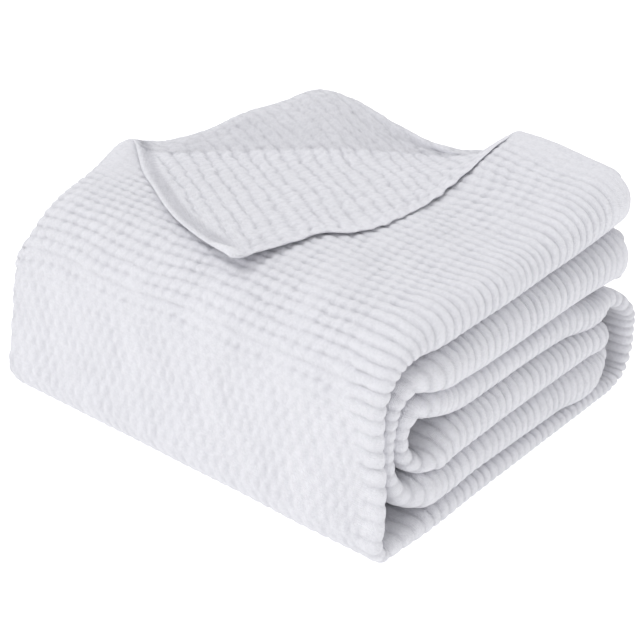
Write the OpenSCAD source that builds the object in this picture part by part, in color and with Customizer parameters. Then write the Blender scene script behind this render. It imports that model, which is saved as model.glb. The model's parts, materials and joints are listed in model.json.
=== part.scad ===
// Folded cotton waffle throw blanket.
// A throw is folded to a strip, the strip is folded into six layers, and one corner of the
// top layer is turned back over itself. X runs along the front, Y to the back and Z up.
// The origin is the middle of the underside.

/* [Folded stack] */
// Width along the front, mm
stack_width = 254; // [180:1:360]
// Depth from the front panel to the back fold, mm
stack_depth = 200; // [140:1:300]
// Play left between layers that only lie on each other, mm
layer_gap = 0.4; // [0.3:0.1:1.5]

/* [Layer thicknesses, six plies each] */
// Bottom layer, pressed flat by the rest, mm
bottom_t = 12; // [8:0.5:30]
// Fifth layer from the top, mm
fifth_t = 19.5; // [8:0.5:30]
// Fourth layer from the top, mm
fourth_t = 20; // [8:0.5:30]
// Third layer from the top, mm
third_t = 16; // [8:0.5:30]
// Second layer from the top, mm
second_t = 24.5; // [8:0.5:36]
// Top layer, mm
top_t = 20; // [8:0.5:30]

/* [Folds] */
// Thickness of the cloth where it goes down the front, mm
front_panel_t = 8; // [5:0.5:18]
// Thickness of the inner front fold, mm
inner_front_t = 8; // [6:0.5:18]
// Thickness of the innermost front fold, mm
core_front_t = 8; // [6:0.5:18]
// Thickness of the outer back fold, mm
outer_back_t = 8; // [6:0.5:18]
// Thickness of the inner back fold, mm
inner_back_t = 8; // [6:0.5:18]
// Open space inside the innermost front fold, mm
core_hollow = 14; // [2:0.5:24]
// Space between one front fold and the next, mm
fold_space = 0.6; // [0.4:0.1:6]
// How far the ends of the folds stand back from the rolled side edges, mm
fold_inset = 6; // [0:0.5:14]

/* [Free ends] */
// How far the top layer's free end stands back from the back fold, mm
top_end_back = 12; // [0:1:50]
// How far the second layer's free end stands back from the back fold, mm
second_end_back = 10; // [0:1:50]
// Depth of the sewn hem across the free ends, mm
end_hem_w = 9; // [4:0.5:20]

/* [Turned corner] */
// Thickness of the one ply that is turned back, mm
ply_t = 3.4; // [1.5:0.1:6]
// Height of the loose roll above the top layer, mm
roll_rise = 21; // [8:0.5:36]
// Radius of the roll, mm
roll_r = 31; // [20:0.5:60]
// Direction of the crease in front of the roll, degrees from X towards Y
crease_angle = 43.6; // [30:0.2:60]
// Crease's front end, measured in from the left side, mm
crease_left_in = 43; // [20:1:80]
// Crease's front end, measured back from the front, mm
crease_left_back = 74; // [50:1:110]
// Length of the crease, mm
crease_length = 166; // [100:1:220]
// Turned corner's tip, measured along the crease from its front end, mm
tip_along = 39; // [10:1:80]
// Turned corner's tip, measured from the crease, mm
tip_out = 123; // [60:1:150]
// Bulge of the turned corner's end edge, measured along the crease, mm
bulge_along = 126; // [90:1:170]
// Bulge of the turned corner's end edge, measured from the crease, mm
bulge_out = 77; // [30:1:100]
// Width of the sewn hem round the turned corner, mm
corner_hem_w = 6; // [3:0.5:12]
// How far the hem stands above the ply, mm
corner_hem_rise = 1.4; // [0:0.1:4]

/* [Hidden] */
$fn = 96;
z_bottom = 0;
z_fifth = z_bottom + bottom_t + layer_gap;
z_fourth = z_fifth + fifth_t + layer_gap;
z_third = z_fourth + fourth_t + layer_gap;
z_second = z_third + third_t + layer_gap;
z_top = z_second + second_t + layer_gap;
stack_height = z_top + top_t;
x_left = -stack_width / 2;
x_right = stack_width / 2;
y_front = -stack_depth / 2;
y_back = stack_depth / 2;
y_inner_front = y_front + front_panel_t + fold_space;
y_core_front = y_inner_front + inner_front_t + fold_space;
y_mid = y_core_front + core_front_t + core_hollow;
y_outer_back = y_back - outer_back_t;
y_inner_back = y_outer_back - fold_space - inner_back_t;
y_top_end = y_back - top_end_back;
y_second_end = y_back - second_end_back;
fold_x0 = x_left + fold_inset;
fold_x1 = x_right - fold_inset;
z_turned = stack_height + layer_gap;
white = [0.93, 0.93, 0.95];
hem_white = [0.90, 0.90, 0.92];

// A stretch of the folded strip: both long sides are rolled, and it runs from y0 to y1.
module strip(z, t, y0, y1) {
  translate([0, y0, z + t / 2])
    rotate([-90, 0, 0])
      union() {
        translate([x_left + t / 2, -t / 2, 0])
          cube([stack_width - t, t, y1 - y0]);
        translate([x_left + t / 2, 0, 0])
          cylinder(d = t, h = y1 - y0);
        translate([x_right - t / 2, 0, 0])
          cylinder(d = t, h = y1 - y0);
      }
}

// What a rounded front edge leaves of everything: up says which edge of the strip is round.
module front_round(z, t, r, up) {
  cz = up ? z + t - r : z + r;
  translate([x_left - 1, 0, 0])
    rotate([90, 0, 90])
      linear_extrude(stack_width + 2)
        union() {
          translate([y_front + r, z - 1])
            square([stack_depth, t + 2]);
          translate([y_front + r, cz])
            circle(r = r);
          translate([y_front, up ? z - 1 : cz])
            square([r + 1, up ? t + 1 - r : t + 1 - r]);
        }
}

// An upright fold: round along its outer edges, with its outer face at y0 or y1.
module upright_fold(y0, y1, z0, z1, front) {
  r = (y1 - y0) * 0.9;
  cy = front ? y0 + r : y1 - r;
  translate([fold_x0, 0, 0])
    rotate([90, 0, 90])
      linear_extrude(fold_x1 - fold_x0)
        intersection() {
          translate([y0, z0])
            square([y1 - y0, z1 - z0]);
          union() {
            translate([y0, z0 + r])
              square([y1 - y0, z1 - z0 - 2 * r]);
            translate([front ? cy : y0 - r, z0])
              square([y1 - y0, z1 - z0]);
            translate([cy, z0 + r])
              circle(r = r);
            translate([cy, z1 - r])
              circle(r = r);
          }
        }
}

module bottom_layer() {
  color(white)
    intersection() {
      strip(z_bottom, bottom_t, y_front, y_outer_back - layer_gap);
      front_round(z_bottom, bottom_t, bottom_t * 0.8, false);
    }
}

module fifth_layer() {
  color(white)
    strip(z_fifth, fifth_t, y_inner_front + inner_front_t + layer_gap, y_inner_back - layer_gap);
}

module fourth_layer() {
  color(white)
    strip(z_fourth, fourth_t, y_mid, y_inner_back - layer_gap);
}

module third_layer() {
  color(white)
    strip(z_third, third_t, y_mid, y_outer_back - layer_gap);
}

module second_layer() {
  color(white)
    strip(z_second, second_t, y_inner_front + inner_front_t + layer_gap, y_second_end - end_hem_w);
}

module top_layer() {
  color(white)
    intersection() {
      strip(z_top, top_t, y_front, y_top_end - end_hem_w);
      front_round(z_top, top_t, top_t * 0.9, true);
    }
}

// The stretch of strip that goes down the front, from the top layer to the bottom layer.
module front_panel() {
  color(white)
    translate([fold_x0, y_front, z_fifth])
      cube([fold_x1 - fold_x0, front_panel_t, z_top - layer_gap - z_fifth]);
}

module inner_front_fold() {
  color(white)
    upright_fold(y_inner_front, y_inner_front + inner_front_t, z_fifth, z_top - layer_gap, true);
}

module core_front_fold() {
  color(white)
    upright_fold(y_core_front, y_core_front + core_front_t, z_fourth, z_second - layer_gap, true);
}

module outer_back_fold() {
  color(white)
    upright_fold(y_outer_back, y_back, z_bottom, z_second - layer_gap, false);
}

module inner_back_fold() {
  color(white)
    upright_fold(y_inner_back, y_inner_back + inner_back_t, z_fifth, z_third - layer_gap, false);
}

module second_end_hem() {
  color(hem_white)
    strip(z_second, second_t, y_second_end - end_hem_w, y_second_end);
}

module top_end_hem() {
  color(hem_white)
    strip(z_top, top_t, y_top_end - end_hem_w, y_top_end);
}

// Puts its children in the crease's own frame: X along the crease, and -Y towards the tip.
module crease_frame(z) {
  translate([x_left + crease_left_in, y_front + crease_left_back, z])
    rotate([0, 0, crease_angle])
      children();
}

// The loose roll behind the crease, cut off at the sides and back of the stack.
module corner_roll() {
  half = sqrt(roll_r * roll_r - (roll_r - roll_rise) * (roll_r - roll_rise));
  color(white)
    intersection() {
      crease_frame(z_turned)
        translate([-stack_width, half + layer_gap, roll_rise - roll_r])
          rotate([0, 90, 0])
            cylinder(r = roll_r, h = 2 * stack_width + crease_length);
      translate([x_left + fold_inset, y_front, z_turned])
        cube([stack_width - 2 * fold_inset, y_top_end - y_front, roll_rise + 1]);
    }
}

// The outline of the turned corner, hems included, in the crease's frame.
module corner_outline() {
  polygon([[0, 0], [tip_along, -tip_out], [bulge_along, -bulge_out], [crease_length, 0]]);
}

// A band along one edge of the turned corner, from point a to point b, with w on its inner side.
module edge_band(a, b, w) {
  along = b - a;
  translate(a)
    rotate(atan2(along[1], along[0]))
      translate([-w, -w])
        square([norm(along) + 2 * w, 2 * w]);
}

module side_band(w) {
  edge_band([0, 0], [tip_along, -tip_out], w);
}

module end_band(w) {
  edge_band([tip_along, -tip_out], [bulge_along, -bulge_out], w);
  edge_band([bulge_along, -bulge_out], [crease_length, 0], w);
}

module turned_corner() {
  color(white)
    crease_frame(z_turned)
      linear_extrude(ply_t)
        difference() {
          corner_outline();
          side_band(corner_hem_w);
          end_band(corner_hem_w);
        }
}

module corner_side_hem() {
  color(hem_white)
    crease_frame(z_turned)
      linear_extrude(ply_t + corner_hem_rise)
        intersection() {
          corner_outline();
          side_band(corner_hem_w);
        }
}

module corner_end_hem() {
  color(hem_white)
    crease_frame(z_turned)
      linear_extrude(ply_t + corner_hem_rise)
        difference() {
          intersection() {
            corner_outline();
            end_band(corner_hem_w);
          }
          side_band(corner_hem_w);
        }
}

bottom_layer();
fifth_layer();
fourth_layer();
third_layer();
second_layer();
top_layer();
front_panel();
inner_front_fold();
core_front_fold();
outer_back_fold();
inner_back_fold();
second_end_hem();
top_end_hem();
corner_roll();
turned_corner();
corner_side_hem();
corner_end_hem();
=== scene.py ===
import json
import math

import bpy
import numpy as np
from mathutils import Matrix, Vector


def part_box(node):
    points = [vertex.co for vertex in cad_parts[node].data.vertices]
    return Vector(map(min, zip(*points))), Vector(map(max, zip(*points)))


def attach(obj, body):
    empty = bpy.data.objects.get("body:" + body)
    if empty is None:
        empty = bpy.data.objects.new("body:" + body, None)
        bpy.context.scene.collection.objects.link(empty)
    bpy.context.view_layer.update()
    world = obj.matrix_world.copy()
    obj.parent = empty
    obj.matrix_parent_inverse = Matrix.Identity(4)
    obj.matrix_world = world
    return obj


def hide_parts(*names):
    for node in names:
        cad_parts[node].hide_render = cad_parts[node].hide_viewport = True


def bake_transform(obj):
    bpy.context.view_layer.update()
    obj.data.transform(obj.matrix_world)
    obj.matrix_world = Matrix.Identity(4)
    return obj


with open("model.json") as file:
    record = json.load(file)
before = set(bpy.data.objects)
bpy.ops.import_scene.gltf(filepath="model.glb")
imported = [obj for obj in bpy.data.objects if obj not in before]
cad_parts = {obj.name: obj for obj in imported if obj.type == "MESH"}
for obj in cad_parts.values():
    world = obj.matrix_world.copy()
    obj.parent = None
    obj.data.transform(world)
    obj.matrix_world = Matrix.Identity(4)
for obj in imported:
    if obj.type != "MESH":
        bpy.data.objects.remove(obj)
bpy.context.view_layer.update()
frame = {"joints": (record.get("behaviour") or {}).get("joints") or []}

bl_info = {
    "name": "Folded Waffle Throw",
    "version": (1, 0, 0),
    "blender": (4, 5, 0),
    "location": "View3D > Sidebar > Throw",
    "description": "Builds the cloth of a folded cotton waffle throw round its CAD frame",
    "category": "Object",
}

MM = 0.001
TAU = 2 * math.pi


# ---------------------------------------------------------------- the frame's sizes, in mm


def node_box(node):
    """A CAD node's lowest and highest corners, in mm."""
    low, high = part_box(node)
    return np.array(low) / MM, np.array(high) / MM


TOP, SECOND, THIRD = node_box("top_layer"), node_box("second_layer"), node_box("third_layer")
FOURTH, FIFTH, BOTTOM = node_box("fourth_layer"), node_box("fifth_layer"), node_box("bottom_layer")
Z_TOP, Z_SECOND, Z_THIRD = TOP[1][2], SECOND[1][2], THIRD[1][2]
Z_FOURTH, Z_FIFTH, Z_BOTTOM = FOURTH[1][2], FIFTH[1][2], BOTTOM[1][2]
FRONT = TOP[0][1]
BACK = node_box("outer_back_fold")[1][1]
SIDE = TOP[1][0]
WIDTH = round(2 * SIDE)
TOP_END = node_box("top_end_hem")[1][1]
SECOND_END = node_box("second_end_hem")[1][1]
HINGE = next(j for j in frame["joints"] if j["name"] == "corner_lifts")
CREASE_AT = np.array(HINGE["pos_m"][:2]) / MM
CREASE_ALONG = -np.array(HINGE["axis"][:2])
CREASE_ACROSS = np.array([-CREASE_ALONG[1], CREASE_ALONG[0]])


# ---------------------------------------------------------------- settings a user would change


class ThrowCloth(bpy.types.PropertyGroup):
    """The woven cloth's own sizes and colour, and the colour of the painted shade in its valleys."""

    rib_pitch: bpy.props.FloatProperty(
        name="Rib pitch", description="Distance from one rib of the waffle to the next",
        default=0.0055, min=0.003, max=0.02, unit="LENGTH")
    front_pitch: bpy.props.FloatProperty(
        name="Front rib pitch", description="Distance between ribs where the front pulls them apart",
        default=0.0080, min=0.003, max=0.02, unit="LENGTH")
    cell_pitch: bpy.props.FloatProperty(
        name="Cell pitch", description="Distance between the crossing threads along a rib",
        default=0.0066, min=0.003, max=0.02, unit="LENGTH")
    relief: bpy.props.FloatProperty(
        name="Relief", description="Depth of the valleys between ribs",
        default=0.0015, min=0.0, max=0.005, unit="LENGTH")
    ply: bpy.props.FloatProperty(
        name="Ply", description="Thickness of one ply of the cloth",
        default=0.0032, min=0.001, max=0.006, unit="LENGTH")
    row_step: bpy.props.FloatProperty(
        name="Row step", description="Distance between the mesh's rows along the strip",
        default=0.00078, min=0.0004, max=0.003, unit="LENGTH")
    colour: bpy.props.FloatVectorProperty(
        name="Colour", description="Colour of the cotton on top of the ribs",
        subtype="COLOR", size=3, min=0, max=1, default=(0.785, 0.785, 0.83))
    # Painted shade: this colour stands for the shade that falls deep in the narrow valleys between the
    # ribs, not for a colour of the cotton.
    valley_shade_colour: bpy.props.FloatVectorProperty(
        name="Valley colour", description="Colour of the cotton in the valleys",
        subtype="COLOR", size=3, min=0, max=1, default=(0.50, 0.50, 0.545))


class ThrowStage(bpy.types.PropertyGroup):
    """The floor, the lights and the camera."""

    floor_colour: bpy.props.FloatVectorProperty(
        name="Floor colour", description="Colour of the plain floor",
        subtype="COLOR", size=3, min=0, max=1, default=(0.4, 0.4, 0.4))
    key_strength: bpy.props.FloatProperty(
        name="Key strength", description="Strength of the soft main light", default=0.85, min=0)
    sky_strength: bpy.props.FloatProperty(
        name="Sky strength", description="Strength of the even light from all round",
        default=0.875, min=0)
    azimuth: bpy.props.FloatProperty(
        name="Azimuth", description="Direction that the camera stands in, from the front",
        subtype="ANGLE", default=math.radians(40.05))
    elevation: bpy.props.FloatProperty(
        name="Elevation", description="Angle that the camera looks down by",
        subtype="ANGLE", default=math.radians(28.33))
    camera_at: bpy.props.FloatVectorProperty(
        name="Camera", description="Where the camera stands",
        subtype="XYZ", unit="LENGTH", size=3, default=(0.4100, -0.4866, 0.3814))
    lens: bpy.props.FloatProperty(
        name="Lens", description="Focal length on a 36 mm sensor, in mm", default=78.75, min=10)
    floor_glow: bpy.props.FloatProperty(
        name="Floor glow", description="Light that the floor gives off, so that it stays pale",
        default=0.88, min=0)
    key_width: bpy.props.FloatProperty(
        name="Key width", description="Angle that the main light fills, which softens its shadows",
        subtype="ANGLE", default=math.radians(16), min=0)
    key_turn: bpy.props.FloatVectorProperty(
        name="Key turn", description="How the main light is turned from straight down",
        subtype="EULER", unit="ROTATION", size=3, default=(math.radians(27), 0, math.radians(-40)))


# ---------------------------------------------------------------- small numeric helpers


def smoothstep(x, a, b):
    """0 below a, 1 above b, and 3t^2 - 2t^3 between."""
    t = np.clip((x - a) / (b - a), 0, 1)
    return t * t * (3 - 2 * t)


def ripple(u, v, seed, terms=7):
    """Smooth noise of about unit size: a sum of sines of u and v with seeded directions and phases."""
    r = np.random.default_rng(seed)
    out = 0.0
    for k in range(terms):
        size, turn, phase = 0.6 + 1.5 * r.random(), TAU * r.random(), TAU * r.random()
        out = out + np.sin(size * (u * math.cos(turn) + v * math.sin(turn)) * TAU + phase)
    return out / math.sqrt(terms / 2)


def through(t, knots, values):
    """A smooth curve through the knots: cubic Hermite pieces whose slopes are central differences."""
    knots, values = np.asarray(knots, float), np.asarray(values, float)
    slope = np.gradient(values, knots, axis=0)
    i = np.clip(np.searchsorted(knots, t) - 1, 0, len(knots) - 2)
    h = (knots[i + 1] - knots[i])
    u = np.clip((t - knots[i]) / h, 0, 1)
    if values.ndim > 1:
        u, h = u[:, None], h[:, None]
    return ((2 * u**3 - 3 * u**2 + 1) * values[i] + (u**3 - 2 * u**2 + u) * h * slope[i]
            + (3 * u**2 - 2 * u**3) * values[i + 1] + (u**3 - u**2) * h * slope[i + 1])


# ---------------------------------------------------------------- the folded strip


def flat_rows(ys, low, high, left, right):
    """Rows of the strip's table for a layer that lies between two heights."""
    ys, low, high = np.broadcast_arrays(*[np.asarray(v, float) for v in (ys, low, high)])
    edge = np.ones(len(ys))
    return np.stack([ys, (low + high) / 2, (high - low) / 2 - 0.25, left * edge, right * edge], 1)


def strip_path():
    """The strip from the top layer's free end to the second layer's: (y, z, half thickness,
    left edge, right edge) at points along it, and the number of the row that starts each stretch."""
    s = SIDE
    parts = [
        ("top", flat_rows(
            [TOP_END - 6, 70, 46, 16, -18, -46, FRONT + 33],
            Z_SECOND + np.array([3, 2, 1, 1, 0, -1, -2.0]),
            Z_TOP + np.array([3, 2.5, 1.5, 0.5, 0, -0.5, -2]),
            -s + np.array([13, 13, 14, 14, 15, 18, 23]), s + np.array([0, 0, -0.5, -1, -0.5, -1, -2]))),
        ("top_bend", np.array([
            [FRONT + 21, Z_TOP - 13.2, 8.5, 25.5 - s, s - 4],
            [FRONT + 12, Z_TOP - 18, 6.6, 22.5 - s, s - 6],
            [FRONT + 6.4, Z_TOP - 26, 5.0, 17 - s, s - 8],
            [FRONT + 4.3, Z_TOP - 36, 4.2, 11 - s, s - 10]])),
        ("front", np.array([
            [FRONT + 3.9, Z_TOP - 54, 4, 7 - s, s - 11], [FRONT + 3.4, 40, 4, 2 - s, s - 9],
            [FRONT + 0.6, 22, 4, 2.5 - s, s - 7], [FRONT - 1.6, 8.6, 4, 5 - s, s - 6],
            [FRONT + 1.6, 4.2, 4.0, 7 - s, s - 6], [FRONT + 10, 4.7, 4.5, 6 - s, s - 5]])),
        ("bottom", flat_rows(
            [FRONT + 32, -39, -10, 22, 50, 76], 0.1, Z_BOTTOM + np.array([0, 1.5, 0.5, -0.5, -2, -2.5]),
            3 - s, s - 3)),
        ("back_bend", np.array([
            [BACK - 9, 5.2, 4.9, 2 - s, s - 3], [BACK - 1, 9.5, 4.5, 2 - s, s - 2],
            [BACK + 2.4, 20, 4.4, 2 - s, s - 1], [BACK + 2.6, 33, 4.4, 3 - s, s - 1],
            [BACK + 0.4, 45, 4.4, 3 - s, s - 1], [BACK - 6.5, Z_THIRD - 16, 4.8, 3 - s, s - 4],
            [BACK - 16, Z_THIRD - 12.5, 5.6, 2 - s, s - 5]])),
        ("third", flat_rows(
            [74, 40, 5, -25, -50, FRONT + 30], Z_FOURTH + np.array([-5, -1, 1.5, 1, 1.5, 8]),
            Z_THIRD + np.array([-6, 0, -0.5, 0.5, 2, 5.5]), 1 - s, s - 3)),
        ("core_bend", np.array([
            [FRONT + 23.5, Z_FOURTH + 14.2, 5.4, 2 - s, s - 6],
            [FRONT + 20, Z_FOURTH + 8, 4.2, 3 - s, s - 9],
            [FRONT + 19.4, Z_FOURTH - 1, 4, 3 - s, s - 10],
            [FRONT + 21.5, Z_FOURTH - 9, 4.3, 3 - s, s - 9],
            [FRONT + 27, Z_FOURTH - 13.8, 5.4, 2 - s, s - 6]])),
        ("fourth", flat_rows(
            [FRONT + 34, FRONT + 42, -40, -5, 30, 60, 76],
            Z_FIFTH + np.array([0, -0.5, -0.5, 0, 0, 0, 0]),
            Z_FOURTH + np.array([-5.5, -1, 1, 1.5, 0, -2, -5]), 1 - s, s - 1)),
        ("eye", np.array([
            [BACK - 16.5, Z_FIFTH + 5, 6.2, 2 - s, s - 6],
            [BACK - 11.8, Z_FIFTH - 0.5, 4.6, 3 - s, s - 9],
            [BACK - 15, Z_FIFTH - 8, 6.2, 2 - s, s - 6]])),
        ("fifth", flat_rows(
            [74, 38, -5, -38, FRONT + 40, FRONT + 28], Z_BOTTOM + np.array([-3, -2, 0.5, 2, 1, 2.5]),
            Z_FIFTH + np.array([-0.5, 0.5, 0.5, 0, 0, 1.5]), 1 - s, s - 2)),
        ("inner_bend", np.array([
            [FRONT + 18.5, Z_BOTTOM + 14, 6, 2 - s, s - 7],
            [FRONT + 13.4, Z_BOTTOM + 22, 4.4, 3 - s, s - 10],
            [FRONT + 12.2, Z_BOTTOM + 36, 4, 3 - s, s - 12],
            [FRONT + 12.4, Z_BOTTOM + 50, 4, 4 - s, s - 11],
            [FRONT + 14, Z_SECOND - 20, 4.5, 12 - s, s - 9],
            [FRONT + 20, Z_SECOND - 13, 6.2, 17 - s, s - 6]])),
        ("second", flat_rows(
            [FRONT + 31, -50, -18, 18, 52, SECOND_END - 6],
            Z_THIRD + np.array([5, 1.5, 0, 0.5, 0.5, -2.5]),
            Z_SECOND + np.array([-2, -0.5, 0.5, 1, 1, 2.5]), np.array([16, 12, 8, 7, 7, 7]) - s,
            s + 1)),
    ]
    starts, n = {}, 0
    for name, rows in parts:
        starts[name] = n
        n += len(rows)
    starts["end"] = n - 1
    return np.concatenate([rows for _, rows in parts]), starts


ROWS, STARTS = strip_path()
KNOTS = np.concatenate([[0], np.cumsum(np.linalg.norm(np.diff(ROWS[:, :2], axis=0), axis=1))])


def strip_at(t):
    """The strip's centre, outward normal, half thickness and edges at distances t along its middle."""
    t = np.clip(t, 0.06, KNOTS[-1] - 0.06)
    c = through(t, KNOTS, ROWS)
    d = (through(t + 0.05, KNOTS, ROWS) - through(t - 0.05, KNOTS, ROWS))[:, :2]
    d /= np.linalg.norm(d, axis=1)[:, None]
    return c, np.stack([d[:, 1], -d[:, 0]], 1)


def strip_length():
    """Length along the strip: by the outer face as far as the back bend, where that face shows,
    and by the middle of the strip after it."""
    t = np.arange(0.1, KNOTS[-1] - 0.1, 0.25)
    c, normal = strip_at(t)
    outer = (c[:, :2] + normal * c[:, 2:3])
    middle = c[:, :2]
    switch = smoothstep(t, KNOTS[STARTS["back_bend"]], KNOTS[STARTS["third"]])[1:]
    step = (np.linalg.norm(np.diff(outer, axis=0), axis=1) * (1 - switch)
            + np.linalg.norm(np.diff(middle, axis=0), axis=1) * switch)
    return t, np.concatenate([[0], np.cumsum(step)])


LENGTH_T, LENGTH = strip_length()


def on_front(t):
    """1 on the front of the stack, where the cloth hangs taut, and 0 elsewhere."""
    top, front = KNOTS[STARTS["top_bend"]], KNOTS[STARTS["front"]]
    low = KNOTS[STARTS["bottom"]]
    return smoothstep(t, top + 2, front + 4) * (1 - smoothstep(t, low - 12, low + 4))


def tight_bends(t):
    """1 in the inner layers' tight bends and 0 away from them, fading over 12 mm of the strip."""
    fade = 12
    bends = [(KNOTS[STARTS[bend]], KNOTS[STARTS[after]])
             for bend, after in (("core_bend", "fourth"), ("inner_bend", "second"), ("eye", "fifth"))]
    return sum(smoothstep(t, low - fade, low) * (1 - smoothstep(t, high, high + fade))
               for low, high in bends)


def ribs_at(cloth, t):
    """Ribs counted along the strip as far as t: they lie further apart on the front."""
    pitch = cloth.rib_pitch / MM + (cloth.front_pitch - cloth.rib_pitch) / MM * on_front(LENGTH_T)
    count = np.concatenate([[0], np.cumsum(np.diff(LENGTH) / pitch[1:])])
    return np.interp(t, LENGTH_T, count)


# The four lumps that the plies make along the left side, from the inner face to the outer one:
# where each one ends as a share of the half thickness, and how far it stands back, mm.
LUMP_ENDS = np.array([-1.0, -1 / 3, 0.0, 2 / 3, 1.0])
LUMP_BACK = np.array([0.0, 3.0, 0.6, 1.8])


def left_edge(share, t, half, left):
    """How far in x the left side lies at a share (-1 to 1) of the half thickness: each lump is a
    half ellipse, and stands back by an amount that drifts along the strip."""
    k = np.clip(np.searchsorted(LUMP_ENDS, share, side="right") - 1, 0, 3)
    low, high = LUMP_ENDS[k], LUMP_ENDS[k + 1]
    local = np.clip(2 * (share - low) / (high - low) - 1, -1, 1)
    deep = (high - low) / 2 * half * 1.15
    drift = np.zeros_like(half * share)
    for lump in range(4):
        drift = drift + (k == lump) * (LUMP_BACK[lump] + 1.1 * ripple(t / 70, lump * 1.7, 40 + lump))
    return left + drift + deep * (1 - np.sqrt(np.clip(1 - local**2, 0, 1)))


def droop(x, z):
    """The soft stack sinks towards its left side, and more at the top."""
    out = np.clip((-85 - x) / 42, 0, 1.2)
    return -15 * out**2 * smoothstep(z, 35, Z_TOP)


def swell(x, y):
    """How far the top layer rises: a pinched bell-shaped peak where the turned corner starts on the
    left side, and the thick free end at the back right. The rest of that end sinks a little."""
    peak_x, peak_y = CREASE_AT[0] - 22, CREASE_AT[1] - 2
    width = np.where(y < peak_y, 24, 11)
    wide = np.where(x < peak_x, 20, 14)
    peak = 9.5 * np.exp(-((x - peak_x) / wide) ** 2 - ((y - peak_y) / width) ** 2)
    end = 16 * smoothstep(x, 42, 62) - 5.5 * smoothstep(x, 60, 118)
    sunk = -(3.9 * smoothstep(46 - x, 0, 20) + 3 * smoothstep(-x, 0, 60)) * smoothstep(y, 30, 78)
    sunk = sunk - 9 * smoothstep(-x, 52, 90) * smoothstep(y, -14, 22)
    return peak + sunk + end * smoothstep(y, 5, TOP_END - 3)


# Steps between places across a face of the strip, in mm: on the top, where the weave shows, where
# it shows in part, and inside the block. A face without a step is close only near its right edge.
TOP_STEP, SHOWN_STEP, PART_STEP, INSIDE_STEP, EDGE_ONLY = 1.0, 0.95, 1.3, 2.4, None
# The face's plain width and the part of it that counts as near the edge, in mm, and the numbers of
# places on the rest of it, on the right side's roll and on the left side.
FACE_WIDTH, NEAR_EDGE = 230, 34
FAR_PLACES, ROLL_PLACES, LEFT_PLACES = 14, 34, 32


def face_shares(step):
    """Places across a face, from 0 at the left to 1 at the right: evenly at the step, or without
    one far apart except near the right edge."""
    if step:
        return np.linspace(0, 1, int(WIDTH / step))[1:-1]
    near = 1 - np.arange(SHOWN_STEP, NEAR_EDGE, SHOWN_STEP) / FACE_WIDTH
    return np.concatenate([np.linspace(0, near[-1], FAR_PLACES)[1:-1], near[::-1]])


def girth(outer_step, inner_step):
    """Places round the strip's cross-section, as region (0 outer face, 1 roll, 2 inner face,
    3 left side) and share of that region."""
    regions = [face_shares(outer_step), np.linspace(0, 1, ROLL_PLACES),
               1 - face_shares(inner_step)[::-1], np.linspace(0, 1, LEFT_PLACES)]
    return (np.concatenate([np.full(len(r), k) for k, r in enumerate(regions)]),
            np.concatenate(regions))


def strip_base(t, region, share):
    """The strip's plain surface: a flattened tube carried along the path. Its right side is a
    half superellipse and its left side is four lumps. It gives the points, their shares of the
    half thickness and the right edge."""
    c, normal = strip_at(t)
    half, left, right = c[:, 2:3], c[:, 3:4], c[:, 4:5]
    roll = half * 1.15 + 1.5 + 6 * (1 - smoothstep(t[:, None], 5, 60))
    turn = math.pi / 2 - share * math.pi
    x_round = right - roll + roll * np.cos(turn)[None] ** 0.9
    n_round = half * np.sign(np.sin(turn)) * np.abs(np.sin(turn)) ** 0.85
    n_left = np.clip(2 * share - 1, -1, 1)[None]
    x_left = left_edge(n_left, t[:, None], half, left)
    ends = [left_edge(np.array([[v]]), t[:, None], half, left) for v in (1.0, -1.0)]
    x_outer = ends[0] + share[None] * (right - roll - ends[0])
    x_inner = right - roll + share[None] * (ends[1] - right + roll)
    x = np.select([region == 0, region == 1, region == 2], [x_outer, x_round, x_inner], x_left)
    n = np.select([region == 0, region == 1, region == 2],
                  [half + 0 * x, n_round, -half + 0 * x], n_left * half)
    y = c[:, 0:1] + n * normal[:, 0:1]
    z = c[:, 1:2] + n * normal[:, 1:2]
    return np.stack([x, y, z], 2), n / half, right


def closed_normals(points):
    """Outward unit normals of a grid that closes on itself round its second direction."""
    normal = np.cross(np.gradient(points, axis=0), np.roll(points, -1, 1) - np.roll(points, 1, 1))
    normal /= np.linalg.norm(normal, axis=2)[..., None] + 1e-9
    outward = ((points - points.mean(1, keepdims=True)) * normal).sum()
    return normal * (1 if outward > 0 else -1)


def waffle(rib, cell, plain, depth):
    """The relief of the weave: narrow valleys between round ribs, bridged at each cell by the
    crossing threads, which fade out where plain is 1."""
    valley = (1 - np.abs(np.sin(math.pi * rib))) ** 1.6
    bridge = np.cos(math.pi * cell) ** 4
    column = (1 - np.abs(np.sin(math.pi * (cell + 0.5)))) ** 2.3
    woven = 1 - plain
    crossing = 0.34 * column * (0.25 + 0.75 * woven) * (1 - valley)
    return depth * (-valley * (1 - 0.55 * bridge * woven) - crossing)


def lozenges(rib, cell, depth):
    """The relief where the cloth is taut: upright lozenges, each row half a cell along from the
    last, with pits of the same shape between them."""
    return depth * (-0.5 + 0.5 * np.cos(TAU * cell) * np.cos(math.pi * rib))


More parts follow.
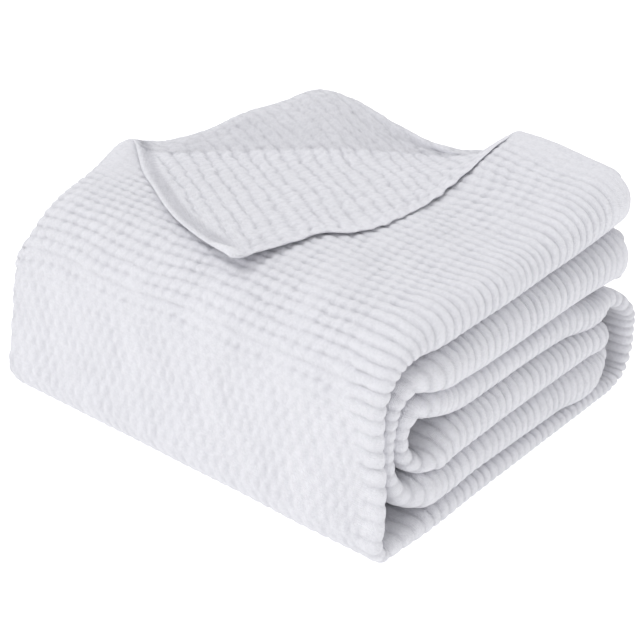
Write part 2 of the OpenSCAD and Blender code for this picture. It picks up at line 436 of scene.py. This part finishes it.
def strip_surface(cloth, start, end, region, share):
    """A stretch of the strip with the weave's relief along its normals. It gives the points, the
    cloth coordinates (cells across, ribs along) and the relief, from 0 in a valley to 1."""
    cell_pitch = cloth.cell_pitch / MM
    t0, t1 = (np.clip(KNOTS[STARTS[k]] if isinstance(k, str) else k, 0.3, KNOTS[-1] - 0.3)
              for k in (start, end))
    ends = np.interp([t0, t1], LENGTH_T, LENGTH)
    count = int(round((ends[1] - ends[0]) / (cloth.row_step / MM))) + 1
    margin = (ends[1] - ends[0]) / (count - 1)
    t = np.interp(np.linspace(ends[0] - margin, ends[1] + margin, count + 2), LENGTH, LENGTH_T)
    rib = ribs_at(cloth, t)
    base, side, right = strip_base(t, region, share)
    ahead, _, _ = strip_base(t + 0.3, region, share)
    behind, _, _ = strip_base(t - 0.3, region, share)
    along = ahead - behind
    around = np.roll(base, -1, 1) - np.roll(base, 1, 1)
    normal = np.cross(around, along)
    normal /= np.linalg.norm(normal, axis=2)[..., None] + 1e-9
    middle = base.mean(1, keepdims=True)
    if ((base - middle) * normal).sum() < 0:
        normal = -normal
    x, y = base[..., 0], base[..., 1]
    around_mm = np.concatenate(
        [np.zeros((len(t), 1)), np.cumsum(np.linalg.norm(np.diff(base, axis=1), axis=2), 1)], 1)
    cell = around_mm / cell_pitch
    ribs = rib[:, None] + 0 * x
    wander = 0.12 * ripple(x / 90, ribs / 16, 3) + 0.035 * ripple(x / 22, ribs / 5, 4)
    wander = wander + 0.03 * ripple(around_mm / 12, ribs / 1.7, 9)
    squeeze = np.clip(np.linalg.norm(along, axis=2) / 0.6, 0.12, 1) ** 1.3
    cell = cell + 0.10 * ripple(x / 70, ribs / 12, 5)
    from_right = right - x
    taut = on_front(t)[:, None]
    plain = np.maximum(smoothstep(-from_right, -34 + 18 * taut, -13 + 9 * taut), region == 3)
    uneven = 1 + 0.16 * ripple(x / 30, ribs / 6, 6)
    depth = cloth.relief / MM * squeeze * (0.9 - 0.05 * plain) * uneven
    calm = 1 - 0.45 * tight_bends(t)[:, None]
    depth = depth * calm * (1 - 0.25 * taut * plain)
    front = (region == 0) * taut * (1 - plain)
    hem = 1 - smoothstep(t[:, None], 3, 24) * smoothstep(KNOTS[-1] - t[:, None], 1, 9)
    from_peak = np.hypot(x - CREASE_AT[0] + 14, y - CREASE_AT[1] + 10)
    pale = (t[:, None] < KNOTS[STARTS["top_bend"]]) * (1 - smoothstep(from_peak, 13, 27))
    depth = depth * (1 - 0.85 * np.maximum(hem, 0.9 * pale))
    h = (1 - front) * waffle(ribs + wander, cell, plain, depth)
    h = h + front * lozenges(ribs + 0.3 * wander, cell, 0.55 * depth)
    lift = np.where(region[None] == 0, 0.25, 0) * ripple(x / 80, y / 80, 8)
    points = base + normal * (h + lift)[..., None]
    upper = (side + 1) / 2 * (t < KNOTS[STARTS["top_bend"]] + 6)[:, None]
    points[..., 2] += swell(points[..., 0], points[..., 1]) * upper
    points[..., 2] += droop(points[..., 0], points[..., 2])
    points[..., 2] = np.maximum(points[..., 2], 0.15)
    normals = closed_normals(points)
    inside = slice(1, -1)
    # The relief, from 0 in a valley to 1, is the mask for the painted shade in the valleys; it is
    # divided by the squeeze and the calm so that the painted shade stays as dark where the valleys are
    # shallower.
    return (points[inside], np.stack([cell, ribs], 2)[inside],
            np.clip(1 + h / (squeeze * 0.85 + 0.15) / calm / (cloth.relief / MM), 0, 1)[inside],
            normals[inside])


# ---------------------------------------------------------------- the turned corner


# The corner's tip and the crease's length in mm; where the seven guide lines stand across the
# corner, and which of them is the valley crease; and how many times closer the weave lies on the
# roll than on the flap.
TIP_SHARE = 0.47
CREASE_LENGTH = 166.0
GUIDE_SHARES = np.array([0, 0.10, 0.2, 0.34, 0.46, 0.72, 1.0])
VALLEY_GUIDE = 4
ROLL_TIGHTNESS = 3.2


def corner_guides(s):
    """The turned corner's guide lines at shares s of the way from the left peak to the back one:
    the foot behind the roll, its back, its crest, its front, the valley crease, the middle of the
    flap and the free edge, in mm."""

    def place(rows):
        """Turns rows of (share, distance along the crease, distance behind it, height over the
        top) into points."""
        rows = np.array(rows, float)
        at = through(s, rows[:, 0], rows[:, 1:])
        xy = CREASE_AT + at[:, :1] * CREASE_LENGTH * CREASE_ALONG + at[:, 1:2] * CREASE_ACROSS
        return np.concatenate([xy, at[:, 2:3]], 1)

    tip = TIP_SHARE
    lines = [
        place([(0, -0.115, 15, -4), (0.1, -0.03, 17, -2.5), (0.2, 0.08, 27, -2.5),
               (0.3, 0.2, 37, -2.5), (0.42, 0.35, 46, -2.5), (0.55, 0.5, 48, -2.5),
               (0.65, 0.62, 41, -2.5), (0.75, 0.74, 26, -2.5), (0.86, 0.88, 12, -2.5),
               (0.94, 0.98, 1, -2.5), (1, 1.12, -8, -4)]),
        place([(0, -0.112, 14.5, -3.5), (0.1, -0.02, 12, 0.1), (0.2, 0.1, 23, 2.8),
               (0.3, 0.22, 30, 8), (0.42, 0.36, 39.5, 12), (0.55, 0.51, 45, 15.5),
               (0.65, 0.61, 37, 11), (0.75, 0.73, 22, 5), (0.86, 0.87, 8, 1.3),
               (0.94, 0.98, -2, 0.8), (1, 1.12, -8.5, -3.5)]),
        place([(0, -0.11, 14, -3.5), (0.1, 0, 5, 0.6), (0.2, 0.13, 13, 8.2),
               (0.3, 0.24, 17.5, 15.8), (0.42, 0.38, 26.5, 17.5), (0.55, 0.51, 32, 24.8),
               (0.65, 0.61, 27, 21.5), (0.75, 0.73, 14, 12.5), (0.86, 0.86, 0.5, 5),
               (0.94, 0.98, -6.5, 0.3), (1, 1.12, -9, -3.5)]),
        place([(0, -0.11, 13.5, -3.5), (0.1, 0.0, 1.5, 1), (0.2, 0.13, 5, 4.5),
               (0.3, 0.24, 7, 8.3), (0.42, 0.38, 11.5, 11.7), (0.55, 0.51, 14, 14.2),
               (0.65, 0.61, 11.5, 12.5), (0.75, 0.73, 6, 6), (0.86, 0.86, -1, 2.4),
               (0.94, 0.98, -8, 0.8), (1, 1.12, -9.5, -3.5)]),
        place([(0, -0.11, 13, -3.5), (0.1, 0.0, -1, 0.4), (0.2, 0.12, -1, 0.8),
               (0.3, 0.23, -2, 1.2), (0.42, 0.37, -3, 1.8), (0.55, 0.5, -3, 2),
               (0.65, 0.61, -3, 1.6), (0.75, 0.73, -2, 0.8), (0.86, 0.86, -4, 0.5),
               (0.94, 0.98, -10, 0.4), (1, 1.12, -10, -3.5)]),
    ]
    legs = np.array([(0, -106, -27, -3.5), (0.04, -99, -29.5, -0.9), (0.1, -77, -45, -1.1),
                     (0.17, -60, -55, -1.2), (0.26, -33, -70.5, -1.2), (0.34, -13, -79, -1.1),
                     (tip - 0.08, 4, -84.5, -0.8), (tip - 0.035, 17, -87.5, -0.5),
                     (tip, 27.5, -88.5, -0.4), (tip + 0.035, 30.5, -77, -0.7),
                     (0.55, 36, -58, -0.8), (0.6, 39, -43, -0.8),
                     (0.64, 48, -36, -0.8), (0.68, 53, -27, -0.8), (0.75, 56.5, -8, -0.6),
                     (0.83, 58, 17, 0.2), (0.92, 59.5, 46, 1.0), (0.97, 61, 70, 1.4),
                     (1, 60, TOP_END - 5, -0.5)])
    edge = through(s, legs[:, 0], legs[:, 1:])
    jag = 0.35 * np.sin(TAU * 31 * s) + 0.2 * ripple(s * 15, 0 * s, 27)
    jag = jag * smoothstep(s, tip + 0.03, tip + 0.08)
    edge[:, 0] += jag * (1 - smoothstep(s, 0.95, 0.99))
    lines.append(lines[-1] * 0.5 + edge * 0.5 + np.array([0, 0, 0.3]))
    lines.append(edge)
    return np.stack(lines, 1)


def corner_sheet(ply, rows, cols):
    """The turned corner's middle surface: a smooth curve carried through the guide lines, with
    its points evenly spaced by length. It gives the points and their places in the flat cloth."""
    s = np.linspace(0, 1, rows)
    guides = corner_guides(s)
    w = np.linspace(0, 1, 400)
    fine = np.stack([through(w, GUIDE_SHARES, guides[i]) for i in range(rows)])
    step = np.cumsum(np.linalg.norm(np.diff(fine, axis=1), axis=2), 1)
    step = np.concatenate([np.zeros((rows, 1)), step], 1)
    points = np.empty((rows, cols, 3))
    for i in range(rows):
        even = np.linspace(0, step[i, -1], cols)
        for k in range(3):
            points[i, :, k] = np.interp(even, step[i], fine[i, :, k])
    points[..., 2] += (Z_TOP + 0.5 + ply / 2 + swell(points[..., 0], points[..., 1])
                       + droop(points[..., 0], Z_TOP + 0 * points[..., 0]))
    length = step[:, -1:] * np.linspace(0, 1, cols)[None]
    at_valley = GUIDE_SHARES[VALLEY_GUIDE]
    valley = np.array([np.interp(at_valley, w, step[i]) for i in range(rows)])[:, None]
    ahead = np.clip(length - valley, 0, None)
    behind = np.clip(valley - length, 0, None)
    rolled = guides[:, VALLEY_GUIDE, :2][:, None] + ROLL_TIGHTNESS * behind[..., None] * CREASE_ACROSS
    flat = np.where((ahead > 0)[..., None], points[..., :2], rolled)
    return points, flat


# The wrong side's weave: the pitches of its two directions, in mm, and how far they turn from x,
# one to each side of it.
RIB_STEP, RIB_TURN = 8.2, math.radians(84)
CELL_STEP, CELL_TURN = 9.6, math.radians(31)


def lattice(flat):
    """Counts of the wrong side's ribs and cells at places in plan: the place in a skew frame whose
    two directions follow the corner's two edges."""
    rib = RIB_STEP * np.array([math.cos(RIB_TURN), math.sin(RIB_TURN)])
    cell = CELL_STEP * np.array([math.cos(CELL_TURN), -math.sin(CELL_TURN)])
    inverse = np.linalg.inv(np.stack([rib, cell], 1))
    counts = flat @ inverse.T
    return counts[..., 0], counts[..., 1]


def surface_normals(points):
    """Unit normals of an open grid: the cross product of its two directions, turned upwards."""
    normal = np.cross(np.gradient(points, axis=0), np.gradient(points, axis=1))
    normal /= np.linalg.norm(normal, axis=2)[..., None] + 1e-9
    return normal * np.where(normal[..., 2:].mean() < 0, -1, 1)


def edge_distance(flat, line):
    """Each place's distance in plan from a line of points."""
    best = np.full(flat.shape[:2], 1e9)
    for p, q in zip(line[:-1], line[1:]):
        d = q - p
        along = np.clip(((flat - p) @ d) / (d @ d), 0, 1)
        best = np.minimum(best, np.linalg.norm(flat - p - along[..., None] * d, axis=2))
    return best


# The corner's rows and columns, and its thickness as a share of a ply's.
CORNER_GRID = 200, 160
CORNER_PLY = 0.75


def corner_surface(cloth):
    """The turned corner as one closed sheet: both faces of the middle surface, with the weave's
    relief on each, joined round the edge."""
    ply = CORNER_PLY * cloth.ply / MM
    rows, cols = CORNER_GRID
    middle, flat = corner_sheet(ply, rows, cols)
    normal = surface_normals(middle)
    rib, cell = lattice(flat)
    tip = int(TIP_SHARE * (rows - 1))
    left = edge_distance(middle[..., :2], middle[:tip + 1:6, -1, :2])
    right = edge_distance(middle[..., :2], middle[tip::6, -1, :2])
    fx, fy = flat[..., 0], flat[..., 1]
    wander = 0.10 * ripple(fx / 60, fy / 60, 21)
    on_roll = smoothstep((flat - CREASE_AT) @ CREASE_ACROSS, -2, 14)
    depth = 1.5 * (1 - 0.4 * on_roll) * (1 + 0.15 * ripple(fx / 25, fy / 25, 22))
    near = smoothstep(left, 7.0, 11.0) * smoothstep(right, 2.0, 5.0)
    wander = wander + 0.05 * ripple(fx / 9, fy / 9, 25)
    valley = (1 - np.abs(np.sin(math.pi * (rib + wander)))) ** 2.4
    bridge = np.cos(math.pi * (cell + 0.25 + 0.1 * ripple(fx / 40, fy / 40, 23))) ** 2
    column = (1 - np.abs(np.sin(math.pi * (2 * cell + 0.75 + 0.5 * np.floor(rib + wander))))) ** 1.3
    woven = -depth * (valley * (1 - 0.35 * bridge) + 0.3 * column * (1 - valley) ** 2)
    woven = woven + 0.13 * ripple(fx / 5, fy / 5, 28)
    # The seam is a groove near the left edge; the tone below also paints it darker in a zigzag of
    # hatching, as painted shade in the groove.
    hatching = 0.72 + 0.28 * np.sin(TAU * cell * 3 + 2.2 * np.sin(left * 1.3))
    seam = np.exp(-((left - 5.2) / 2.8) ** 2) * hatching
    knobs = np.cos(TAU * rib * 1.5 + 1.2 * ripple(fx / 20, fy / 20, 26))
    knobs = np.exp(-((right - 1.8) / 2.4) ** 2) * knobs
    to_tip = np.linalg.norm(middle[..., :2] - middle[tip, -1, :2], axis=2)
    curl = np.exp(-((left - 2.4) / 2.4) ** 2) * (1 - smoothstep(to_tip, 9, 21))
    h = woven * near - 1.7 * seam * smoothstep(to_tip, 5, 14) + 0.45 * knobs + 1.9 * curl
    edge = np.minimum(left, right)
    half = ply / 2 * (0.45 + 0.55 * smoothstep(edge, 1, 9)) * np.sqrt(np.clip(edge / 1.5, 0.03, 1))
    upper = middle + normal * (half + h * 0.85)[..., None]
    under = np.clip(-0.5 * h, -0.2, 0.9) * smoothstep(edge, 3, 8)
    lower = middle - normal * (half + under)[..., None]
    points = np.concatenate([upper, lower[:, ::-1]], 1)
    weave = np.stack([cell, rib], 2)
    # The upper face's tone is painted shade: darker in the weave's valleys and much darker in the
    # seam's groove; it is also 0.06 lighter on the roll.
    tone = np.clip(0.94 + 0.06 * on_roll + h / 1.25 - 0.75 * seam, 0, 1)
    # The lower face's tone is painted shade under the flap, a little less dark where that face bulges
    # down.
    return (points, np.concatenate([weave, weave[:, ::-1]], 1),
            np.concatenate([tone, np.clip(0.45 + under, 0, 1)[:, ::-1]], 1))


# ---------------------------------------------------------------- the free ends' hems


# How much of the layer's swell each of the three stacked hems takes, at its foot and at its top.
LOW_SHARE, HIGH_SHARE = (0.0, 1 / 3, 2 / 3), (1 / 3, 2 / 3, 1.0)
# How far each one stands back, their middle's distance from the free end and half their depth,
# in mm, and the numbers of places along a hem and round it.
HEM_BACK = (0, 1.2, 0.4)
HEM_MIDDLE, HEM_DEPTH = 4.8, 4.6
HEM_PLACES, HEM_ROUND = 250, 28


def end_hem_surface(cloth, end, low, high, left, right, rises, k):
    """Hem k of the three turned-in hems stacked at a layer's free end: a rounded bar along x
    between two heights, closed to a line at both sides, with a little unevenness all over."""
    x = np.linspace(0, 1, HEM_PLACES)
    turn = np.linspace(0, TAU, HEM_ROUND + 1)[:-1]
    xs = left + (right - left) * (0.5 - 0.5 * np.cos(math.pi * x))
    taper = np.sqrt(np.clip(1 - np.abs(2 * (xs - left) / (right - left) - 1) ** 22, 0, 1))
    swollen = swell(xs, end + 0 * xs) * rises
    bottom, top = low + swollen * LOW_SHARE[k], high + swollen * HIGH_SHARE[k]
    middle, half = (bottom + top) / 2, (top - bottom) / 2 - 0.1
    wobble = 0.5 * ripple(xs / 60, 0 * xs, 60 + k)
    c, sn = np.cos(turn)[None], np.sin(turn)[None]
    y = end - HEM_MIDDLE + wobble[:, None] + HEM_DEPTH * taper[:, None] * np.sign(c) * np.abs(c) ** 0.8
    z = middle[:, None] + (half * taper)[:, None] * np.sign(sn) * np.abs(sn) ** 0.8
    rough = 0.22 * ripple(xs[:, None] / 9, turn[None] / 1.5, 70 + k)
    y = y + rough * c
    z = z + droop(xs, middle)[:, None]
    points = np.stack([xs[:, None] + 0 * y, y, z], 2)
    weave = np.stack([xs[:, None] / (cloth.cell_pitch / MM) + 0 * y, turn[None] + 0 * y], 2)
    return points, weave, np.full(y.shape, 0.9)


# ---------------------------------------------------------------- meshes


def volume(points, quads):
    """Signed volume inside the quads: the sum of their tetrahedra to the points' middle."""
    points = points - points.mean(0)
    a, b, c, d = (points[quads[:, k]] for k in range(4))
    return ((a * np.cross(b, c)).sum() + (a * np.cross(c, d)).sum()) / 6


def grid_quads(rows, cols):
    """The corner numbers of the quads of a grid that closes on itself round its second direction,
    and the same corners counted on a grid that has one more column at the seam."""
    wide = cols + 1
    i, j = np.meshgrid(np.arange(rows - 1), np.arange(cols), indexing="ij")
    i, j = i.ravel(), j.ravel()
    corner_i = np.stack([i, i, i + 1, i + 1], 1)
    corner_j = np.stack([j, j + 1, j + 1, j], 1)
    return corner_i * cols + corner_j % cols, corner_i * wide + corner_j


# How far the cloth coordinates run on across a closed grid's seam.
SEAM_STEP = 0.15


def cloth_mesh(name, points, weave, relief, normals=None):
    """A closed grid of points in mm as a smooth mesh in metres, with its cloth coordinates as a UV
    map and its relief as an attribute. Its two ends are each shut by one flat face. Given normals
    carry the shading on smoothly from one stretch of the strip to the next."""
    rows, cols = points.shape[:2]
    quads, places = grid_quads(rows, cols)
    flat = points.reshape(-1, 3)
    weave = np.concatenate([weave, weave[:, -1:] + SEAM_STEP], 1)
    round_once = np.arange(cols)
    first = round_once[::-1]
    sides = len(quads) * 4
    starts = np.concatenate([np.arange(len(quads)) * 4, [sides, sides + cols]])
    loops = np.concatenate([quads.ravel(), first, (rows - 1) * cols + round_once])
    uv_at = np.concatenate([places.ravel(), first, (rows - 1) * (cols + 1) + round_once])
    if volume(flat, quads) < 0:
        for corners in (loops, uv_at):
            corners[:sides] = corners[:sides].reshape(-1, 4)[:, ::-1].ravel()
            corners[sides:] = corners[sides:].reshape(2, cols)[:, ::-1].ravel()
    mesh = bpy.data.meshes.new(name)
    mesh.vertices.add(len(flat))
    mesh.vertices.foreach_set("co", (flat * MM).ravel().astype(np.float32))
    mesh.loops.add(len(loops))
    mesh.loops.foreach_set("vertex_index", loops.astype(np.int32))
    mesh.polygons.add(len(starts))
    mesh.polygons.foreach_set("loop_start", starts.astype(np.int32))
    mesh.update(calc_edges=True)
    mesh.polygons.foreach_set("use_smooth", np.arange(len(starts)) < len(quads))
    uv = mesh.uv_layers.new(name="cloth")
    uv.data.foreach_set("uv", weave.reshape(-1, 2)[uv_at].ravel().astype(np.float32))
    # The relief attribute is the mask that the cotton uses for its painted shade in the valleys.
    height = mesh.attributes.new("relief", "FLOAT", "POINT")
    height.data.foreach_set("value", relief.ravel().astype(np.float32))
    mesh.validate()
    if normals is not None:
        corner = normals.reshape(-1, 3)[loops]
        face = np.empty(len(starts) * 3, np.float32)
        mesh.polygons.foreach_get("normal", face)
        sizes = np.diff(np.append(starts, len(loops)))
        corner[sides:] = np.repeat(face.reshape(-1, 3), sizes, 0)[sides:]
        mesh.normals_split_custom_set(corner)
    obj = bpy.data.objects.new(name, mesh)
    bpy.context.scene.collection.objects.link(obj)
    return obj


# ---------------------------------------------------------------- materials


class Value:
    """A number in a shader: arithmetic on it adds Math nodes."""

    def __init__(self, tree, socket):
        self.tree, self.socket = tree, socket

    def math(self, operation, *others, swap=False):
        """A Math node on this value and the others, in reverse order if they are swapped."""
        values = [self, *others]
        if swap:
            values.reverse()
        return self.tree.node("ShaderNodeMath", {"operation": operation}, *values)

    def __add__(self, other):
        return self.math("ADD", other)

    def __radd__(self, other):
        return self.math("ADD", other, swap=True)

    def __sub__(self, other):
        return self.math("SUBTRACT", other)

    def __rsub__(self, other):
        return self.math("SUBTRACT", other, swap=True)

    def __mul__(self, other):
        return self.math("MULTIPLY", other)

    def __rmul__(self, other):
        return self.math("MULTIPLY", other, swap=True)

    def __pow__(self, other):
        return self.math("POWER", other)


class Shader:
    """A material's node tree, filled through one method."""

    def __init__(self, name):
        self.material = bpy.data.materials.new(name)
        self.material.use_nodes = True
        self.tree = self.material.node_tree
        self.tree.nodes.clear()

    def node(self, kind, settings=None, *inputs, out=0, **named):
        """Adds a node: its settings first, then the values or links of its sockets. It gives the
        output numbered out, or the node itself where it has none."""
        made = self.tree.nodes.new(kind)
        for key, value in (settings or {}).items():
            setattr(made, key, value)
        for key, value in list(enumerate(inputs)) + list(named.items()):
            key = key.replace("_", " ") if isinstance(key, str) else key
            if isinstance(value, Value):
                self.tree.links.new(value.socket, made.inputs[key])
            else:
                made.inputs[key].default_value = value
        return Value(self, made.outputs[out]) if len(made.outputs) else made


# Fine yarns in the bump, over one cell across and over one rib along.
YARNS_PER_CELL, YARNS_PER_RIB = 9, 8


def cotton(name, colour, valley_shade_colour):
    """Matte cotton: painted shade darkens it in the valleys against the ribs, with soft blotches of
    tone, and a bump of fine yarns that follow the weave under a little loose fluff."""
    s = Shader(name)
    weave = s.node("ShaderNodeUVMap", {"uv_map": "cloth"})
    place = s.node("ShaderNodeTexCoord", {}, out=3)
    relief = s.node("ShaderNodeAttribute", {"attribute_name": "relief"}, out=2)
    blotch = s.node("ShaderNodeTexNoise", {}, Vector=place, Scale=38.0, Detail=3.0, Roughness=0.6)
    fluff = s.node("ShaderNodeTexNoise", {}, Vector=place, Scale=900.0, Detail=1.0, Roughness=0.7)
    slub = s.node("ShaderNodeTexNoise", {}, Vector=place, Scale=430.0, Detail=1.0, Roughness=0.6)
    across = s.node("ShaderNodeSeparateXYZ", {}, weave, out=0)
    along = s.node("ShaderNodeSeparateXYZ", {}, weave, out=1)
    warp = (across * (TAU * YARNS_PER_CELL)).math("SINE")
    weft = (along * (TAU * YARNS_PER_RIB)).math("SINE")
    threads = warp * 0.5 + weft * 0.5
    # The tone mixes painted shade in the valleys, taken from the relief attribute, with random
    # blotches, slubs and fluff in the cotton's own tone.
    tone = (relief ** 0.9) * 0.63 + blotch * 0.16 + slub * 0.42 + fluff * 0.45 - 0.2
    base = s.node("ShaderNodeMix", {"data_type": "RGBA"}, out=2)
    mixer = base.socket.node
    mixer.clamp_factor = True
    s.tree.links.new(tone.socket, mixer.inputs[0])
    # The mix runs from the painted valley shade to the cotton's colour on top of the ribs.
    mixer.inputs[6].default_value = (*valley_shade_colour, 1)
    mixer.inputs[7].default_value = (*colour, 1)
    height = threads * 0.3 + fluff * 0.8 + slub * 0.6
    bump = s.node("ShaderNodeBump", {}, Strength=0.6, Distance=0.0008, Height=height)
    shader = s.node("ShaderNodeBsdfPrincipled", {}, Base_Color=base, Normal=bump,
                    Roughness=0.95 - 0.1 * slub, Sheen_Weight=0.25, Sheen_Roughness=0.6,
                    Specular_IOR_Level=0.2)
    s.node("ShaderNodeOutputMaterial", {}, shader)
    return s.material


def dress(obj, material, body=None):
    """Gives a piece its material and the body it rides on."""
    obj.data.materials.append(material)
    if body:
        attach(obj, body)
    return obj


# ---------------------------------------------------------------- operators


def stretch(cloth, name, start, end, outer=EDGE_ONLY, inner=EDGE_ONLY):
    """One stretch of the strip as an object, with its steps across the outer and inner faces."""
    region, share = girth(outer, inner)
    return cloth_mesh(name, *strip_surface(cloth, start, end, region, share))


def material_of(slot):
    """The scene's own material for a slot, made the first time that it is asked for."""
    cloth = bpy.context.scene.throw_cloth
    name = "woven_" + slot
    made = bpy.data.materials.get(name)
    if made is None:
        made = cotton(name, tuple(cloth.colour), tuple(cloth.valley_shade_colour))
    return made


class THROW_OT_outer_layers(bpy.types.Operator):
    """Build the top layer, the front and the bottom layer, which wrap the rest"""

    bl_idname = "throw.outer_layers"
    bl_label = "Outer layers"

    def execute(self, context):
        cloth = context.scene.throw_cloth
        waffle_cotton = material_of("waffle_cotton")
        bend = KNOTS[STARTS["top_bend"]]
        middle = KNOTS[STARTS["front"] + 1]
        low = KNOTS[STARTS["bottom"]]
        back = KNOTS[STARTS["back_bend"]]
        top = stretch(cloth, "top_layer_cloth", "top", bend, TOP_STEP, INSIDE_STEP)
        dress(top, waffle_cotton, "top")
        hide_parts("top_layer", "corner_roll")
        upper = stretch(cloth, "front_upper_cloth", bend, middle, SHOWN_STEP, INSIDE_STEP)
        dress(upper, waffle_cotton)
        (Z_TOP - 26) * MM
        (Z_TOP - 8) * MM
        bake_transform(upper)
        lower = stretch(cloth, "front_lower_cloth", middle, low, SHOWN_STEP, INSIDE_STEP)
        dress(lower, waffle_cotton)
        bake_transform(lower)
        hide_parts("front_panel")
        under = stretch(cloth, "bottom_layer_cloth", low, back)
        dress(under, waffle_cotton, "base")
        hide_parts("bottom_layer")
        behind = stretch(cloth, "outer_back_cloth", back, "third", SHOWN_STEP)
        dress(behind, waffle_cotton, "base")
        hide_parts("outer_back_fold")
        return {"FINISHED"}


class THROW_OT_inner_layers(bpy.types.Operator):
    """Build the third, fourth, fifth and second layers and the folds between them"""

    bl_idname = "throw.inner_layers"
    bl_label = "Inner layers"

    def execute(self, context):
        cloth = context.scene.throw_cloth
        waffle_cotton = material_of("waffle_cotton")
        for name, start, end, node, inner in (
                ("third_layer_cloth", "third", "core_bend", "third_layer", EDGE_ONLY),
                ("core_front_cloth", "core_bend", "fourth", "core_front_fold", EDGE_ONLY),
                ("fourth_layer_cloth", "fourth", "eye", "fourth_layer", EDGE_ONLY),
                ("inner_back_cloth", "eye", "fifth", "inner_back_fold", EDGE_ONLY),
                ("fifth_layer_cloth", "fifth", "inner_bend", "fifth_layer", EDGE_ONLY),
                ("inner_front_cloth", "inner_bend", "second", "inner_front_fold", PART_STEP),
                ("second_layer_cloth", "second", "end", "second_layer", PART_STEP)):
            piece = stretch(cloth, name, start, end, inner=inner)
            dress(piece, waffle_cotton, "base")
            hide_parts(node)
        return {"FINISHED"}


class THROW_OT_turned_corner(bpy.types.Operator):
    """Build the top ply's turned corner with the roll that it falls from"""

    bl_idname = "throw.turned_corner"
    bl_label = "Turned corner"

    def execute(self, context):
        cloth = context.scene.throw_cloth
        flap = cloth_mesh("turned_corner_cloth", *corner_surface(cloth))
        dress(flap, material_of("waffle_cotton"))
        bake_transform(flap)
        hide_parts("turned_corner", "corner_side_hem", "corner_end_hem")
        return {"FINISHED"}


class THROW_OT_end_hems(bpy.types.Operator):
    """Build the three turned-in hems at each free end"""

    bl_idname = "throw.end_hems"
    bl_label = "End hems"

    def execute(self, context):
        cloth = context.scene.throw_cloth
        for node, end, low, high, left, right, rises, body in (
                ("top_end_hem", TOP_END, Z_SECOND + 3, Z_TOP + 3, 15 - SIDE, SIDE - 7, 1.0, "top"),
                ("second_end_hem", SECOND_END, Z_THIRD - 2.5, Z_SECOND + 2.5, 9 - SIDE, SIDE - 3, 0.0,
                 "base")):
            step = (high - low) / 3
            for k in range(3):
                hem = cloth_mesh(f"{node}_{k}", *end_hem_surface(
                    cloth, end - HEM_BACK[k], low + k * step, low + (k + 1) * step,
                    left, right, rises, k))
                dress(hem, material_of("hem"), body)
                if k == 0:
                    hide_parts(node)
        return {"FINISHED"}


FLOOR_REACH = 6.0  # m
SENSOR_WIDTH = 36  # mm


class THROW_OT_stage(bpy.types.Operator):
    """Build the floor, the lights and the camera"""

    bl_idname = "throw.stage"
    bl_label = "Stage"

    def execute(self, context):
        scene, stage = context.scene, context.scene.throw_stage
        scene.view_settings.view_transform = "Standard"
        world = bpy.data.worlds.new("soft_sky")
        world.use_nodes = True
        sky = world.node_tree.nodes["Background"]
        sky.inputs["Color"].default_value = (1, 1, 1, 1)
        sky.inputs["Strength"].default_value = stage.sky_strength
        scene.world = world
        mesh = bpy.data.meshes.new("floor")
        corners = np.array([[-1, -1], [1, -1], [1, 1], [-1, 1]]) * FLOOR_REACH
        mesh.from_pydata([(x, y, 0.0) for x, y in corners], [], [(0, 1, 2, 3)])
        floor = bpy.data.objects.new("floor", mesh)
        scene.collection.objects.link(floor)
        s = Shader("floor_paint")
        paint = s.node("ShaderNodeBsdfPrincipled", {}, Base_Color=(*stage.floor_colour, 1),
                       Roughness=0.9, Emission_Color=(1, 1, 1, 1), Emission_Strength=stage.floor_glow)
        s.node("ShaderNodeOutputMaterial", {}, paint)
        floor.data.materials.append(s.material)
        key = bpy.data.lights.new("key", "SUN")
        key.energy, key.angle = stage.key_strength, stage.key_width
        lamp = bpy.data.objects.new("key", key)
        lamp.rotation_euler = stage.key_turn
        scene.collection.objects.link(lamp)
        camera = bpy.data.objects.new("camera", bpy.data.cameras.new("camera"))
        camera.data.lens, camera.data.sensor_width = stage.lens, SENSOR_WIDTH
        camera.data.clip_start = 0.01
        camera.location = stage.camera_at
        camera.rotation_euler = (math.pi / 2 - stage.elevation, 0, stage.azimuth)
        scene.collection.objects.link(camera)
        scene.camera = camera
        return {"FINISHED"}


class THROW_PT_panel(bpy.types.Panel):
    """The throw's steps and sizes in the sidebar"""

    bl_label = "Throw"
    bl_idname = "THROW_PT_panel"
    bl_space_type = "VIEW_3D"
    bl_region_type = "UI"
    bl_category = "Throw"

    def draw(self, context):
        for group in (context.scene.throw_cloth, context.scene.throw_stage):
            for name in group.__annotations__:
                self.layout.prop(group, name)
        for step in STEPS:
            self.layout.operator(step.bl_idname)


STEPS = (THROW_OT_stage, THROW_OT_outer_layers, THROW_OT_inner_layers, THROW_OT_turned_corner,
         THROW_OT_end_hems)
CLASSES = (ThrowCloth, ThrowStage, *STEPS, THROW_PT_panel)


def register():
    """Adds the classes and the scene's two groups of settings."""
    for made in CLASSES:
        bpy.utils.register_class(made)
    bpy.types.Scene.throw_cloth = bpy.props.PointerProperty(type=ThrowCloth)
    bpy.types.Scene.throw_stage = bpy.props.PointerProperty(type=ThrowStage)


def unregister():
    """Takes the settings and the classes away again."""
    del bpy.types.Scene.throw_cloth
    del bpy.types.Scene.throw_stage
    for made in reversed(CLASSES):
        bpy.utils.unregister_class(made)


def main():
    """Builds everything in order."""
    register()
    bpy.ops.throw.stage()
    bpy.ops.throw.outer_layers()
    bpy.ops.throw.inner_layers()
    bpy.ops.throw.turned_corner()
    bpy.ops.throw.end_hems()


if __name__ == "__main__":
    main()
